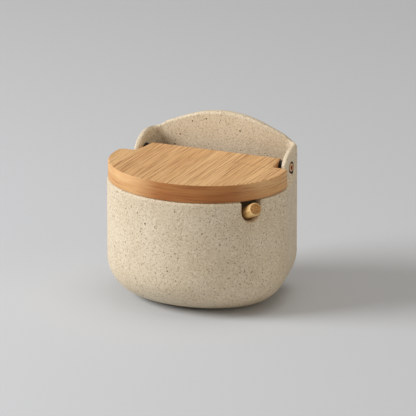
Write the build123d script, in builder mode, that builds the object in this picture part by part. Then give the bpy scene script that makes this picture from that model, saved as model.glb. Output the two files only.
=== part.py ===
# Spice jar with a flip lid and a spoon
# Millimetres. +Z is up, the front faces -Y, and the origin is on the table under the
# middle of the jar. The stoneware pot, its two ears and its back board are one casting.

import os
from math import atan2, cos, degrees, hypot, radians, sin, sqrt, tan

from build123d import *

# Pot
body_width = 103.0
body_depth = 85.0
widest_y = 1.1
rim_height = 67.0
wall = 5.0
floor_thickness = 6.0
bottom_round = 23.0
bottom_front_draw = 0.25
flank_angle = 12.5
rear_corner_radius = 14.0
rim_round = 1.2
foot_recess = 1.0
foot_width = 5.0

# Back board and its hump
shoulder_rise = 16.3
crest_rise = 12.2
crest_slope = 23.5
slope_end_inset = 6.0
bay_corner_radius = 6.0

# Ears that carry the lid
ear_inset = 6.0
ear_thickness = 3.3
ear_front_reach = 9.0
ear_top_run = 16.0
ear_flare = 5.0
ear_root_depth = 5.0

# Notch for the spoon
notch_angle = -39.3
notch_width = 11.5
notch_depth = 11.8

# Lid, glued up from two bamboo plies
ply_thickness = 4.9
lid_inset = 0.5
lid_gap = 0.3
lid_shoulder_gap = 1.2
lid_shoulder_corner = 4.0
tongue_root_gap = 1.2
tongue_end_gap = 4.3
lid_top_round = 1.0
lid_bottom_round = 0.6

# Hinge
hinge_setback = 18.5
hinge_rise = 5.9
screw_diameter = 3.0
screw_head_diameter = 5.2
screw_head_height = 1.7
screw_head_round = 0.5
screw_reach = 6.5
socket_size = 2.5
socket_depth = 1.1
head_pocket_diameter = 6.4
head_pocket_depth = 1.5
head_seat_gap = 0.1
bush_diameter = 4.6
bush_flange_diameter = 7.4
bush_flange = 1.0
bush_seat_gap = 0.05
bush_fit = 0.05
spacer_diameter = 6.6
spacer_gap = 0.1
spot_face_margin = 0.5
spot_face_depth = 0.5
insert_diameter = 5.0
insert_length = 8.0
insert_fit = 0.02

# Spoon
bowl_back_gap = 1.05
bowl_floor_rise = 18.3
spoon_lean = 26.0
spoon_rest_gap = 0.28
spoon_overhang = 4.2
tip_width = 7.4
tip_thickness = 7.1
tip_swell = 0.9
tip_face_width = 6.0
tip_face_thickness = 5.8
handle_width = 6.6
handle_thickness = 5.4
handle_neck = 45.0
handle_end_thickness = 3.4
bowl_inner_diameter = 19.0
bowl_depth = 5.5
bowl_wall = 2.0
bowl_rim_rise = 2.0

# Levels and places that follow from the sizes above
half_width = body_width / 2
back_y = body_depth / 2
front_reach = back_y + widest_y
bay_face_y = back_y - wall
shoulder_height = rim_height + shoulder_rise
crest_height = shoulder_height + crest_rise
ear_outer_x = half_width - ear_inset
ear_inner_x = ear_outer_x - ear_thickness
hinge_y = back_y - hinge_setback
hinge_height = rim_height + hinge_rise
ear_front_y = hinge_y - ear_front_reach
ear_foot_y = ear_front_y - ear_flare
lid_shoulder_y = ear_foot_y - lid_shoulder_gap
tongue_root_x = ear_inner_x - tongue_root_gap
tongue_end_x = ear_inner_x - tongue_end_gap
lid_bottom = rim_height + lid_gap
lid_middle = lid_bottom + ply_thickness
lid_top = lid_middle + ply_thickness
tongue_end_y = hinge_y + ply_thickness
head_seat_x = ear_outer_x - head_pocket_depth
top_clear = crest_height + wall
sides = {"left": -1, "right": 1}
rounding_steps = 6


def pot_outline(inset, corner=rear_corner_radius, front_extra=0):
    """Plan of the pot, drawn in by inset and a little extra in front: part of an ellipse,
    straight flanks that close in towards the back, and round corners into a flat back."""
    flank = radians(flank_angle)
    side, reach = half_width - inset, front_reach - inset - front_extra
    span = hypot(side * cos(flank), reach * sin(flank))
    flank_start = (side**2 * cos(flank) / span, widest_y + reach**2 * sin(flank) / span)
    ellipse_angle = degrees(atan2(reach * sin(flank), side * cos(flank)))
    corner = min(corner, (back_y - inset - flank_start[1]) / (1 - sin(flank)))
    flank_distance = flank_start[0] * cos(flank) + flank_start[1] * sin(flank)
    corner_y = back_y - inset - corner
    corner_x = (flank_distance - corner - corner_y * sin(flank)) / cos(flank)
    flank_end = (corner_x + corner * cos(flank), corner_y + corner * sin(flank))
    with BuildSketch() as plan:
        with BuildLine() as edge:
            EllipticalCenterArc((0, widest_y), side, reach, -90, arc_size=90 + ellipse_angle)
            Line(flank_start, flank_end)
            CenterArc((corner_x, corner_y), corner, flank_angle, 90 - flank_angle)
            Line((corner_x, back_y - inset), (0, back_y - inset))
            mirror(edge.line, about=Plane.YZ)
        make_face()
    return plan.sketch


def pot_form(inset, base):
    """The pot's round-bottomed shape, drawn in by inset and standing on the level base."""
    radius = bottom_round - inset
    with BuildPart() as form:
        for step in range(rounding_steps + 1):
            angle = radians(90 * step / rounding_steps)
            draw_in = radius * (1 - sin(angle))
            with BuildSketch(Plane.XY.offset(base + radius * (1 - cos(angle)))):
                add(pot_outline(inset + draw_in, front_extra=draw_in * bottom_front_draw))
        loft()
        with BuildSketch(Plane.XY.offset(base + radius)):
            add(pot_outline(inset))
        extrude(amount=rim_height - base - radius)
    return form.part


def crown_front_view():
    """Ears and back board seen from the front: a round crest, straight slopes, level
    shoulders, flanks that flare out to the rim, and roots that slope under the ears."""
    slope_end_x = ear_outer_x - slope_end_inset
    slope = radians(crest_slope)
    crest_radius = (slope_end_x * tan(slope) - crest_rise) / (1 / cos(slope) - 1)
    arc_end = (crest_radius * sin(slope), crest_height - crest_radius * (1 - cos(slope)))
    flare_top = rim_height + ear_flare
    root_top = rim_height - ear_root_depth
    with BuildSketch() as view:
        with BuildLine() as edge:
            RadiusArc((0, crest_height), arc_end, crest_radius)
            Polyline(arc_end, (slope_end_x, shoulder_height), (ear_outer_x, shoulder_height),
                     (ear_outer_x, flare_top))
            RadiusArc((ear_outer_x, flare_top), (ear_outer_x + ear_flare, rim_height), -ear_flare)
            Polyline((ear_outer_x + ear_flare, rim_height), (half_width, rim_height),
                     (half_width, root_top - half_width + ear_inner_x),
                     (ear_inner_x, root_top), (0, root_top))
            mirror(edge.line, about=Plane.YZ)
        make_face()
    return view.sketch


def ear_side_view():
    """Ears seen from the side: they flare up from the rim and bend back in part of an ellipse."""
    flare_top = rim_height + ear_flare
    ear_top_y = ear_front_y + ear_top_run
    back_rise_y = bay_face_y - bay_corner_radius
    with BuildSketch() as view:
        with BuildLine():
            RadiusArc((ear_foot_y, rim_height), (ear_front_y, flare_top), -ear_flare)
            EllipticalCenterArc((ear_top_y, flare_top), ear_top_run, shoulder_height - flare_top,
                                90, arc_size=90)
            Polyline((ear_top_y, shoulder_height), (back_rise_y, shoulder_height),
                     (back_rise_y, top_clear), (back_y, top_clear), (back_y, 0), (ear_foot_y, 0),
                     (ear_foot_y, rim_height))
        make_face()
    return view.sketch


# Plan of the space between the ears
with BuildSketch() as bay_plan:
    with Locations((0, bay_face_y - back_y)):
        Rectangle(2 * ear_inner_x, body_depth)
    fillet(bay_plan.vertices().group_by(Axis.Y)[-1], radius=bay_corner_radius)

# Crown: the two ears and the back board, which stand on the rim of the pot
with BuildPart() as crown:
    with BuildSketch():
        add(pot_outline(0))
    extrude(amount=top_clear)
    with BuildSketch(Plane.XZ):
        add(crown_front_view())
    extrude(amount=body_depth, both=True, mode=Mode.INTERSECT)
    with BuildSketch(Plane.YZ):
        add(ear_side_view())
    extrude(amount=body_width, both=True, mode=Mode.INTERSECT)
    with BuildSketch():
        add(bay_plan.sketch)
    extrude(amount=top_clear, mode=Mode.SUBTRACT)

# Notch: a slot with a round bottom, square to the wall where the spoon passes it
notch_turn = radians(notch_angle)
notch_span = hypot(half_width * cos(notch_turn), front_reach * sin(notch_turn))
notch_x = half_width**2 * cos(notch_turn) / notch_span
notch_y = widest_y + front_reach**2 * sin(notch_turn) / notch_span
notch_plane = Plane(origin=(notch_x, notch_y, rim_height),
                    x_dir=(-sin(notch_turn), cos(notch_turn), 0),
                    z_dir=(cos(notch_turn), sin(notch_turn), 0))


def hinge_plane(side, distance):
    """A plane square to the hinge line, this far from the middle and facing outwards."""
    return Plane(origin=(side * distance, hinge_y, hinge_height),
                 x_dir=(0, 1, 0), z_dir=(side, 0, 0))


# Jar body
with BuildPart() as jar_body:
    add(pot_form(0, 0))
    add(pot_form(wall, floor_thickness), mode=Mode.SUBTRACT)
    fillet(jar_body.faces().sort_by(Axis.Z)[-1].edges(), radius=rim_round)
    add(crown.part)
    with BuildSketch():
        add(pot_outline(bottom_round + foot_width, rear_corner_radius - foot_width,
                        bottom_round * bottom_front_draw))
    extrude(amount=foot_recess, mode=Mode.SUBTRACT)
    with BuildSketch(notch_plane):
        Rectangle(notch_width, 2 * notch_depth - notch_width)
        with Locations((0, notch_width / 2 - notch_depth)):
            Circle(notch_width / 2)
    extrude(amount=2 * wall, both=True, mode=Mode.SUBTRACT)
    with Locations([hinge_plane(side, ear_outer_x) for side in sides.values()]):
        CounterBoreHole(bush_diameter / 2 + bush_fit, head_pocket_diameter / 2,
                        head_pocket_depth, depth=2 * ear_thickness)
jar_body.part.label = "jar_body"


def tongue_half_width(at_y):
    """Half the tongue's width, which narrows evenly from the shoulders to its end."""
    share = (at_y - lid_shoulder_y) / (tongue_end_y - lid_shoulder_y)
    return tongue_root_x + share * (tongue_end_x - tongue_root_x)


# Where the hinge pieces lie along the hinge line, measured from the middle of the lid
spot_face_x = tongue_half_width(hinge_y) - spot_face_depth
insert_start_x = spot_face_x - insert_length
bush_flange_x = ear_inner_x - bush_seat_gap - bush_flange
spacer_length = bush_flange_x - spacer_gap - spot_face_x - spacer_gap
screw_tip_x = spot_face_x - screw_reach
screw_seat_x = head_seat_x + head_seat_gap


# Plan of the lid: the pot's front ellipse, drawn in, cut off at the shoulders, with a tongue
with BuildSketch() as lid_plan:
    with BuildLine():
        lid_round = EllipticalCenterArc((0, widest_y), half_width - lid_inset, front_reach - lid_inset,
                                        135, arc_size=270)
        Line(lid_round @ 1, lid_round @ 0)
    make_face()
    with Locations((0, lid_shoulder_y - back_y)):
        Rectangle(body_width, body_depth, mode=Mode.INTERSECT)
    fillet(lid_plan.vertices().group_by(Axis.Y)[-1], radius=lid_shoulder_corner)
    with BuildLine() as tongue_edge:
        Polyline((0, widest_y), (tongue_root_x, widest_y), (tongue_root_x, lid_shoulder_y),
                 (tongue_end_x, tongue_end_y), (0, tongue_end_y))
        mirror(tongue_edge.line, about=Plane.YZ)
    make_face()

# Side view of the lid: both plies, with the end of the tongue round about the middle joint
with BuildSketch() as lid_side_view:
    with Locations((hinge_y - body_depth / 2, lid_middle)):
        Rectangle(body_depth, 2 * ply_thickness)
    with Locations((hinge_y, lid_middle)):
        Circle(ply_thickness)

# Bores at both ends of the tongue: a spot face, then a hole for the insert and screw tip
with BuildPart() as tongue_bores:
    for side in sides.values():
        with BuildSketch(hinge_plane(side, spot_face_x)):
            Circle(spacer_diameter / 2 + spot_face_margin)
        extrude(amount=wall)
        with BuildSketch(hinge_plane(side, insert_start_x)):
            Circle(insert_diameter / 2 + insert_fit)
        extrude(amount=2 * insert_length)

# Upper ply of the lid
with BuildPart() as lid_upper_layer:
    with BuildSketch(Plane.XY.offset(lid_middle)):
        add(lid_plan.sketch)
    extrude(amount=ply_thickness)
    fillet(lid_upper_layer.edges().group_by(Axis.Z)[-1], radius=lid_top_round)
    with BuildSketch(Plane.YZ):
        add(lid_side_view.sketch)
    extrude(amount=body_width, both=True, mode=Mode.INTERSECT)
    add(tongue_bores.part, mode=Mode.SUBTRACT)
lid_upper_layer.part.label = "lid_upper_layer"

# Lower ply of the lid
with BuildPart() as lid_lower_layer:
    with BuildSketch(Plane.XY.offset(lid_bottom)):
        add(lid_plan.sketch)
    extrude(amount=ply_thickness)
    fillet(lid_lower_layer.edges().group_by(Axis.Z)[0], radius=lid_bottom_round)
    with BuildSketch(Plane.YZ):
        add(lid_side_view.sketch)
    extrude(amount=body_width, both=True, mode=Mode.INTERSECT)
    add(tongue_bores.part, mode=Mode.SUBTRACT)
lid_lower_layer.part.label = "lid_lower_layer"


def hinge_screw(side):
    """Screw with a cheese head and a hexagon socket, its head outside the ear."""
    with BuildPart() as screw:
        with BuildSketch(hinge_plane(side, screw_tip_x)):
            Circle(screw_diameter / 2)
        extrude(amount=screw_seat_x - screw_tip_x)
        with BuildSketch(hinge_plane(side, screw_seat_x)):
            Circle(screw_head_diameter / 2)
        extrude(amount=screw_head_height)
        outermost = screw.faces().sort_by(Axis.X)[-1 if side > 0 else 0]
        fillet(outermost.edges(), radius=screw_head_round)
        with BuildSketch(hinge_plane(side, screw_seat_x + screw_head_height - socket_depth)):
            RegularPolygon(socket_size / 2, 6, major_radius=False)
        extrude(amount=socket_depth, mode=Mode.SUBTRACT)
    return screw.part


def hinge_bush(side):
    """Bush that lines the ear: a sleeve through it and a flange on its inner face."""
    with BuildPart() as bush:
        with BuildSketch(hinge_plane(side, bush_flange_x)):
            Circle(bush_flange_diameter / 2)
        extrude(amount=bush_flange)
        with BuildSketch(hinge_plane(side, bush_flange_x)):
            Circle(bush_diameter / 2)
        extrude(amount=head_seat_x - bush_flange_x)
        with BuildSketch(hinge_plane(side, bush_flange_x)):
            Circle(screw_diameter / 2 + bush_fit)
        extrude(amount=head_seat_x - bush_flange_x, mode=Mode.SUBTRACT)
    return bush.part


def hinge_spacer(side):
    """Ring that keeps the tongue off the bush, seated in the tongue's spot face."""
    with BuildPart() as spacer:
        with BuildSketch(hinge_plane(side, spot_face_x + spacer_gap)):
            Circle(spacer_diameter / 2)
            Circle(screw_diameter / 2 + bush_fit, mode=Mode.SUBTRACT)
        extrude(amount=spacer_length)
    return spacer.part


def thread_insert(side):
    """Threaded sleeve set into the end of the tongue, which takes the screw."""
    with BuildPart() as insert:
        with BuildSketch(hinge_plane(side, insert_start_x)):
            Circle(insert_diameter / 2)
            Circle(screw_diameter / 2 + insert_fit, mode=Mode.SUBTRACT)
        extrude(amount=insert_length)
    return insert.part


# Spoon: it leans in the notch and reaches in until its bowl nears the back wall or the floor
lean = radians(spoon_lean)
bowl_inner_radius = bowl_inner_diameter / 2
bowl_sphere = (bowl_inner_radius**2 + bowl_depth**2) / (2 * bowl_depth)
bowl_outer_radius = sqrt((bowl_sphere + bowl_wall)**2 - (bowl_sphere - bowl_depth)**2)
seat_run = (wall + spoon_overhang) / cos(lean)
seat_share = (handle_neck - seat_run) / (handle_neck - tip_swell)
seat_thickness = handle_thickness + seat_share * (tip_thickness - handle_thickness)
handle_seat_height = rim_height - notch_depth + spoon_rest_gap + seat_thickness / 2 / cos(lean)
tip_x = notch_x + spoon_overhang * cos(notch_turn)
tip_y = notch_y + spoon_overhang * sin(notch_turn)
tip_height = handle_seat_height + (wall + spoon_overhang) * tan(lean)
bowl_y = back_y - wall - bowl_back_gap - bowl_outer_radius
reach_to_back = (tip_y - bowl_y) / sin(notch_turn) / cos(lean)
reach_to_floor = (tip_height - floor_thickness - bowl_floor_rise) / sin(lean)
bowl_middle = min(reach_to_back, reach_to_floor)
spoon_plane = Plane(
    origin=(tip_x, tip_y, tip_height),
    x_dir=(sin(notch_turn), -cos(notch_turn), 0),
    z_dir=(-cos(notch_turn) * cos(lean), -sin(notch_turn) * cos(lean), -sin(lean)))
bowl_centre = spoon_plane.offset(bowl_middle).origin
bowl_plane = Plane(origin=bowl_centre, x_dir=spoon_plane.z_dir, z_dir=-spoon_plane.x_dir)
with BuildPart() as spoon:
    with BuildSketch(spoon_plane):
        Ellipse(tip_face_width / 2, tip_face_thickness / 2)
    with BuildSketch(spoon_plane.offset(tip_swell)):
        Ellipse(tip_width / 2, tip_thickness / 2)
    loft()
    with BuildSketch(spoon_plane.offset(tip_swell)):
        Ellipse(tip_width / 2, tip_thickness / 2)
    with BuildSketch(spoon_plane.offset(handle_neck)):
        Ellipse(handle_width / 2, handle_thickness / 2)
    loft()
    with BuildSketch(spoon_plane.offset(handle_neck)):
        Ellipse(handle_width / 2, handle_thickness / 2)
    with BuildSketch(spoon_plane.offset(bowl_middle - bowl_inner_radius)):
        Ellipse(handle_width / 2, handle_end_thickness / 2)
    loft()
    with BuildSketch(bowl_plane):
        with Locations((0, bowl_rim_rise - bowl_depth + bowl_sphere)):
            Circle(bowl_sphere + bowl_wall)
            Circle(bowl_sphere, mode=Mode.SUBTRACT)
        with Locations((0, bowl_rim_rise)):
            Rectangle(bowl_middle, bowl_middle, align=(Align.MIN, Align.MAX),
                      mode=Mode.INTERSECT)
    revolve(axis=Axis(bowl_centre, bowl_plane.y_dir))
spoon.part.label = "spoon"

# Pieces that come in a left and right pair
pairs = {"hinge_screw": hinge_screw, "hinge_bush": hinge_bush,
         "hinge_spacer": hinge_spacer, "thread_insert": thread_insert}

os.makedirs("parts", exist_ok=True)
for single in (jar_body, lid_upper_layer, lid_lower_layer, spoon):
    export_step(single.part, f"parts/{single.part.label}.step")
for kind, make in pairs.items():
    for name, side in sides.items():
        piece = make(side)
        piece.label = f"{kind}_{name}"
        export_step(piece, f"parts/{piece.label}.step")
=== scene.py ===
from math import radians

import bmesh
import bpy
import numpy as np
from mathutils import Matrix, Vector


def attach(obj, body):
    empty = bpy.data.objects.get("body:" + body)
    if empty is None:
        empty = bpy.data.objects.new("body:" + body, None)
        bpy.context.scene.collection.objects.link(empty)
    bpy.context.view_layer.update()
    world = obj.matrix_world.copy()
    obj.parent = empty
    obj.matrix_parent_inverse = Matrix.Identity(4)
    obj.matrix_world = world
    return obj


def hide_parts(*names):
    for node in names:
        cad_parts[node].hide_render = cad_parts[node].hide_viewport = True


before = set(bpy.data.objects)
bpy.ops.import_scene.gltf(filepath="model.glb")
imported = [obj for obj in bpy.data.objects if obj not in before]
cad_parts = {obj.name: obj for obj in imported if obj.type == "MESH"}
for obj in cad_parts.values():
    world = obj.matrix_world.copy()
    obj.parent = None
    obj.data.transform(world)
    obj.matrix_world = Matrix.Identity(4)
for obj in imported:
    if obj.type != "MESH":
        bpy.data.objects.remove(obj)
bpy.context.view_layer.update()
print("frame loaded:", len(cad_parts), "nodes")

toMetres = 0.001  # shapes are worked out in millimetres, materials in metres
mergeWithin = 1e-7


def linked(thing):
    bpy.context.scene.collection.objects.link(thing)
    return thing


# the first and the last row of a skin are each drawn together to one point, which becomes a pole
def closePoles(mesh, around):
    skin = bmesh.new()
    skin.from_mesh(mesh)
    skin.verts.ensure_lookup_table()
    for end in (skin.verts[:around], skin.verts[-around:]):
        bmesh.ops.remove_doubles(skin, verts=end, dist=mergeWithin)
    bmesh.ops.recalc_face_normals(skin, faces=skin.faces)
    skin.to_mesh(mesh)
    skin.free()


# skin of quads through rows of points, each row a closed loop: point k of a row joins point k + 1,
# and the same two points of the next row
def loopSkin(name, points, sharpAngle=40.0):
    rows, around = points.shape[:2]
    index = np.arange(rows * around, dtype=np.int32).reshape(rows, around)
    lower, upper = index[:-1], index[1:]
    quads = np.stack([lower, np.roll(lower, -1, 1), np.roll(upper, -1, 1), upper], -1).reshape(-1, 4)
    mesh = bpy.data.meshes.new(name)
    mesh.vertices.add(rows * around)
    mesh.vertices.foreach_set("co", (points.reshape(-1) * toMetres).astype(np.float32))
    mesh.loops.add(quads.size)
    mesh.loops.foreach_set("vertex_index", quads.ravel())
    mesh.polygons.add(len(quads))
    mesh.polygons.foreach_set("loop_start", np.arange(0, quads.size, 4, dtype=np.int32))
    mesh.update(calc_edges=True)
    closePoles(mesh, around)
    mesh.shade_smooth()
    mesh.set_sharp_from_angle(angle=radians(sharpAngle))
    return linked(bpy.data.objects.new(name, mesh))


# eased step: 0 below low, 1 above high, 3t^2 - 2t^3 between
def ease(value, low, high):
    t = np.clip((value - low) / (high - low), 0, 1)
    return t * t * (3 - 2 * t)


# smaller of two values, with the corner between them rounded over reach
def softMin(first, second, reach):
    gap = np.clip(reach - np.abs(first - second), 0, None) / reach
    return np.minimum(first, second) - gap * gap * reach / 4


# bump with a flat top: e^(-(distance / width)^4)
def plateau(distance, width):
    return np.exp(-(distance / width)**4)


# length run along a line of points, from its first point to each
def lengthAlong(x, y):
    return np.concatenate([[0], np.cumsum(np.hypot(np.diff(x), np.diff(y)))])


# sRGB 0-255 to linear light: c / 12.92 in the darks, ((c + 0.055) / 1.055)^2.4 above
def colour(red, green, blue):
    c = np.array([red, green, blue]) / 255
    c = np.where(c <= 0.04045, c / 12.92, ((c + 0.055) / 1.055) ** 2.4)
    return (float(c[0]), float(c[1]), float(c[2]), 1.0)


# a material with short calls for its nodes; patterns are placed by object coordinates
class Finish:
    def __init__(self, name):
        self.material = bpy.data.materials.new(name)
        self.material.use_nodes = True
        self.tree = self.material.node_tree
        self.shader = self.tree.nodes["Principled BSDF"]
        self.place = self.add("ShaderNodeTexCoord").outputs["Object"]

    # a new node; settings are its own properties, inputs its sockets, with _ for a space
    def add(self, kind, settings=None, **inputs):
        made = self.tree.nodes.new(kind)
        for key, value in (settings or {}).items():
            setattr(made, key, value)
        for key, value in inputs.items():
            self.feed(made.inputs[key.replace("_", " ")], value)
        return made

    # links a socket into another, or sets a plain value on it
    def feed(self, socket, value):
        if isinstance(value, bpy.types.NodeSocket):
            self.tree.links.new(value, socket)
        else:
            socket.default_value = value

    # place for a pattern; a scale under 1 draws it out along that axis
    def stretched(self, scale, shift=(0, 0, 0)):
        return self.add("ShaderNodeMapping", Vector=self.place, Scale=scale, Location=shift).outputs[0]

    def noise(self, vector, scale, detail=3.0, rough=0.5):
        made = self.add("ShaderNodeTexNoise", Vector=vector, Scale=scale, Detail=detail, Roughness=rough)
        return made.outputs[0]

    # takes low-high to outLow-outHigh, held at both ends
    def ramp(self, value, low, high, outLow=0.0, outHigh=1.0, smooth=True):
        kind = "SMOOTHSTEP" if smooth else "LINEAR"
        made = self.add("ShaderNodeMapRange", {"interpolation_type": kind, "clamp": True})
        for slotIndex, number in enumerate((low, high, outLow, outHigh), start=1):
            made.inputs[slotIndex].default_value = number
        self.feed(made.inputs[0], value)
        return made.outputs[0]

    def math(self, kind, first, second=0.0):
        made = self.add("ShaderNodeMath", {"operation": kind})
        self.feed(made.inputs[0], first)
        self.feed(made.inputs[1], second)
        return made.outputs[0]

    def vectorMath(self, kind, first, second):
        made = self.add("ShaderNodeVectorMath", {"operation": kind})
        self.feed(made.inputs[0], first)
        self.feed(made.inputs["Scale" if kind == "SCALE" else 1], second)
        return made.outputs["Value" if kind == "DOT_PRODUCT" else "Vector"]

    # first where share is 0, second where it is 1
    def blend(self, share, first, second, kind="MIX"):
        made = self.add("ShaderNodeMix", {"data_type": "RGBA", "blend_type": kind})
        self.feed(made.inputs[0], share)
        self.feed(made.inputs[6], first)
        self.feed(made.inputs[7], second)
        return made.outputs[2]

    # a colour over a tone, by a share (low, high, least, most) of a pattern
    def layer(self, tone, pattern, share, top):
        return self.blend(self.ramp(pattern, *share), tone, colour(*top))

    def bump(self, height, strength, distance):
        made = self.add("ShaderNodeBump", Height=height, Strength=strength, Distance=distance)
        self.feed(self.shader.inputs["Normal"], made.outputs[0])

    def set(self, **inputs):
        for key, value in inputs.items():
            self.feed(self.shader.inputs[key.replace("_", " ")], value)


# camera: angles in degrees, lengths in millimetres, near and far in metres
view = {"turn": 23.37, "rise": 17.53, "distance": 3345.0, "lens": 526.8, "sensor": 36.0,
        "look": (0.0, 0.57, 45.0), "slideRight": 5.36, "slideUp": 5.49, "near": 0.1, "far": 100.0}


# camera turned and raised about the point it looks at, then slid right and up
def makeCamera():
    turn, rise = radians(view["turn"]), radians(view["rise"])
    right = Vector((np.cos(turn), np.sin(turn), 0))
    back = Vector((np.sin(turn) * np.cos(rise), -np.cos(turn) * np.cos(rise), np.sin(rise)))
    up = back.cross(right)
    aim = Vector(view["look"]) + right * view["slideRight"] + up * view["slideUp"]
    camera = bpy.data.objects.new("camera", bpy.data.cameras.new("camera"))
    camera.data.lens = view["lens"]
    camera.data.sensor_width = view["sensor"]
    camera.data.clip_start, camera.data.clip_end = view["near"], view["far"]
    turned = Matrix((right, up, back)).transposed().to_4x4()
    turned.translation = (aim + back * view["distance"]) * toMetres
    camera.matrix_world = turned
    bpy.context.scene.camera = linked(camera)


# lights and floor, in metres: a cool lamp from the front left, a warm one from the right, one above
studio = {"keyFrom": (-1.16, -0.72, 0.80), "keySize": 0.85, "keyPower": 23.6, "keyTint": (0.985, 0.99, 1.0),
          "fillFrom": (1.6, -0.45, 0.42), "fillSize": 0.9, "fillPower": 3.65, "fillTint": (1.0, 0.90, 0.75),
          "topFrom": (0.3, 0.2, 1.9), "topSize": 1.2, "topPower": 7.0, "topTint": (1.0, 0.96, 0.90),
          "aim": (0, 0, 0.04), "air": (0.86, 0.81, 0.75, 1.0), "airStrength": 0.37,
          "floorReach": 4.0, "floorTone": (205, 208, 212), "floorGrain": (190, 190, 190),
          "floorGrainScale": 900.0, "floorGrainShare": (0.3, 0.7, 0.0, 0.05),
          "floorRoughness": 0.9, "floorSpecular": 0.1}


# round lamp that faces the aim
def makeLight(name, place, size, power, tint):
    lamp = bpy.data.lights.new(name, "AREA")
    lamp.shape, lamp.size, lamp.energy, lamp.color = "DISK", size, power, tint
    light = linked(bpy.data.objects.new(name, lamp))
    light.location = place
    light.rotation_mode = "QUATERNION"
    light.rotation_quaternion = (Vector(place) - Vector(studio["aim"])).to_track_quat("Z", "Y")


# square floor of pale paper with a faint grain
def makeFloor():
    reach = studio["floorReach"]
    corners = [(-reach, -reach, 0), (reach, -reach, 0), (reach, reach, 0), (-reach, reach, 0)]
    floorMesh = bpy.data.meshes.new("floor")
    floorMesh.from_pydata(corners, [], [(0, 1, 2, 3)])
    paper = Finish("floorPaper")
    grain = paper.noise(paper.place, studio["floorGrainScale"], 2.0)
    tone = paper.layer(colour(*studio["floorTone"]), grain, studio["floorGrainShare"], studio["floorGrain"])
    paper.set(Base_Color=tone, Roughness=studio["floorRoughness"], Specular_IOR_Level=studio["floorSpecular"])
    floorMesh.materials.append(paper.material)
    floor = linked(bpy.data.objects.new("floor", floorMesh))


# the lamps, and even light from all round
def makeStudio():
    for lamp in ("key", "fill", "top"):
        makeLight(lamp + "Light", *(studio[lamp + part] for part in ("From", "Size", "Power", "Tint")))
    world = bpy.data.worlds.new("air")
    bpy.context.scene.world = world
    world.use_nodes = True
    air = world.node_tree.nodes["Background"]
    air.inputs["Color"].default_value = studio["air"]
    air.inputs["Strength"].default_value = studio["airStrength"]
    bpy.context.scene.view_settings.view_transform = "Standard"


makeCamera()
makeStudio()
makeFloor()
print("camera, floor and light placed")


# glaze: scales are cells to the metre, a share is (low, high, least, most) of a pattern
glaze = {"light": (221, 206, 180), "warm": (209, 191, 161), "grain": (150, 127, 98), "pale": (236, 224, 203),
         "cloudScale": 60.0, "cloudShare": (0.3, 0.7, 0.0, 0.6),
         "paleScale": 800.0, "paleShare": (0.52, 0.70, 0.0, 0.7),
         "grainScale": 1250.0, "grainShare": (0.50, 0.68, 0.0, 0.62),
         "wobbleScale": 1600.0, "wobble": 0.0008,
         # flecks: cells to the metre, radius in cells, share of the cells that hold one, tone, strength
         "flecks": ((820.0, 0.36, 0.55, (128, 104, 76), 0.60), (430.0, 0.24, 0.42, (112, 88, 62), 0.80),
                    (260.0, 0.17, 0.30, (84, 64, 44), 0.90), (130.0, 0.10, 0.30, (66, 48, 33), 0.90)),
         "fleckLeast": 0.55, "fleckSoft": 0.4,
         # painted shade in the screw pockets: centre, radius, softness, reach from the middle and tone of the dark
         # patch that stands in for their shadow
         "pocketShadeY": 0.024, "pocketShadeZ": 0.0729, "pocketShadeRadius": 0.0033, "pocketShadeSoft": 0.0002, "pocketShadeFrom": 0.0433,
         "pocketShadeTone": (74, 50, 38),
         "skinScale": 900.0, "skinRelief": 0.6, "fleckRelief": 0.4, "relief": 0.35, "reliefDepth": 0.0003,
         "roughShare": (0.2, 0.8, 0.44, 0.62), "specular": 0.3}


# flecks over a ground: in some of the cells of a pattern a soft dot of random size, its cells pushed
# about by a wobble so that the dots aren't round. Gives the flecked tone and where the flecks are.
def flecked(g, tone):
    shake = g.add("ShaderNodeTexNoise", Vector=g.place, Scale=glaze["wobbleScale"], Detail=2.0)
    wobble = g.vectorMath("ADD", g.place, g.vectorMath("SCALE", shake.outputs["Color"], glaze["wobble"]))
    marks = None
    for cells, size, share, fleckTone, strength in glaze["flecks"]:
        spots = g.add("ShaderNodeTexVoronoi", Vector=wobble, Scale=cells)
        chosen = g.add("ShaderNodeSeparateColor", Color=spots.outputs["Color"])
        fraction = g.ramp(chosen.outputs["Green"], 0.0, 1.0, glaze["fleckLeast"], 1.0, False)
        inside = g.math("SUBTRACT", g.math("MULTIPLY", fraction, size), spots.outputs["Distance"])
        mark = g.math("MULTIPLY", g.ramp(inside, 0.0, size * glaze["fleckSoft"]),
                      g.math("LESS_THAN", chosen.outputs["Red"], share))
        mark = g.math("MULTIPLY", mark, strength)
        tone = g.blend(mark, tone, colour(*fleckTone))
        marks = mark if marks is None else g.math("MAXIMUM", marks, mark)
    return tone, marks


# painted shade: the glaze darkened on the outside of the ears, within a radius of the hinge line, standing in for
# the shadow in the screw pockets
def paintedPocketShade(g):
    at = g.add("ShaderNodeSeparateXYZ", Vector=g.place)
    offY = g.math("SUBTRACT", at.outputs["Y"], glaze["pocketShadeY"])
    offZ = g.math("SUBTRACT", at.outputs["Z"], glaze["pocketShadeZ"])
    fromScrew = g.math("SQRT", g.math("ADD", g.math("MULTIPLY", offY, offY), g.math("MULTIPLY", offZ, offZ)))
    near = g.ramp(fromScrew, glaze["pocketShadeRadius"], glaze["pocketShadeRadius"] + glaze["pocketShadeSoft"], 1.0, 0.0)
    outside = g.math("GREATER_THAN", g.math("ABSOLUTE", at.outputs["X"]), glaze["pocketShadeFrom"])
    return g.math("MULTIPLY", near, outside)
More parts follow.
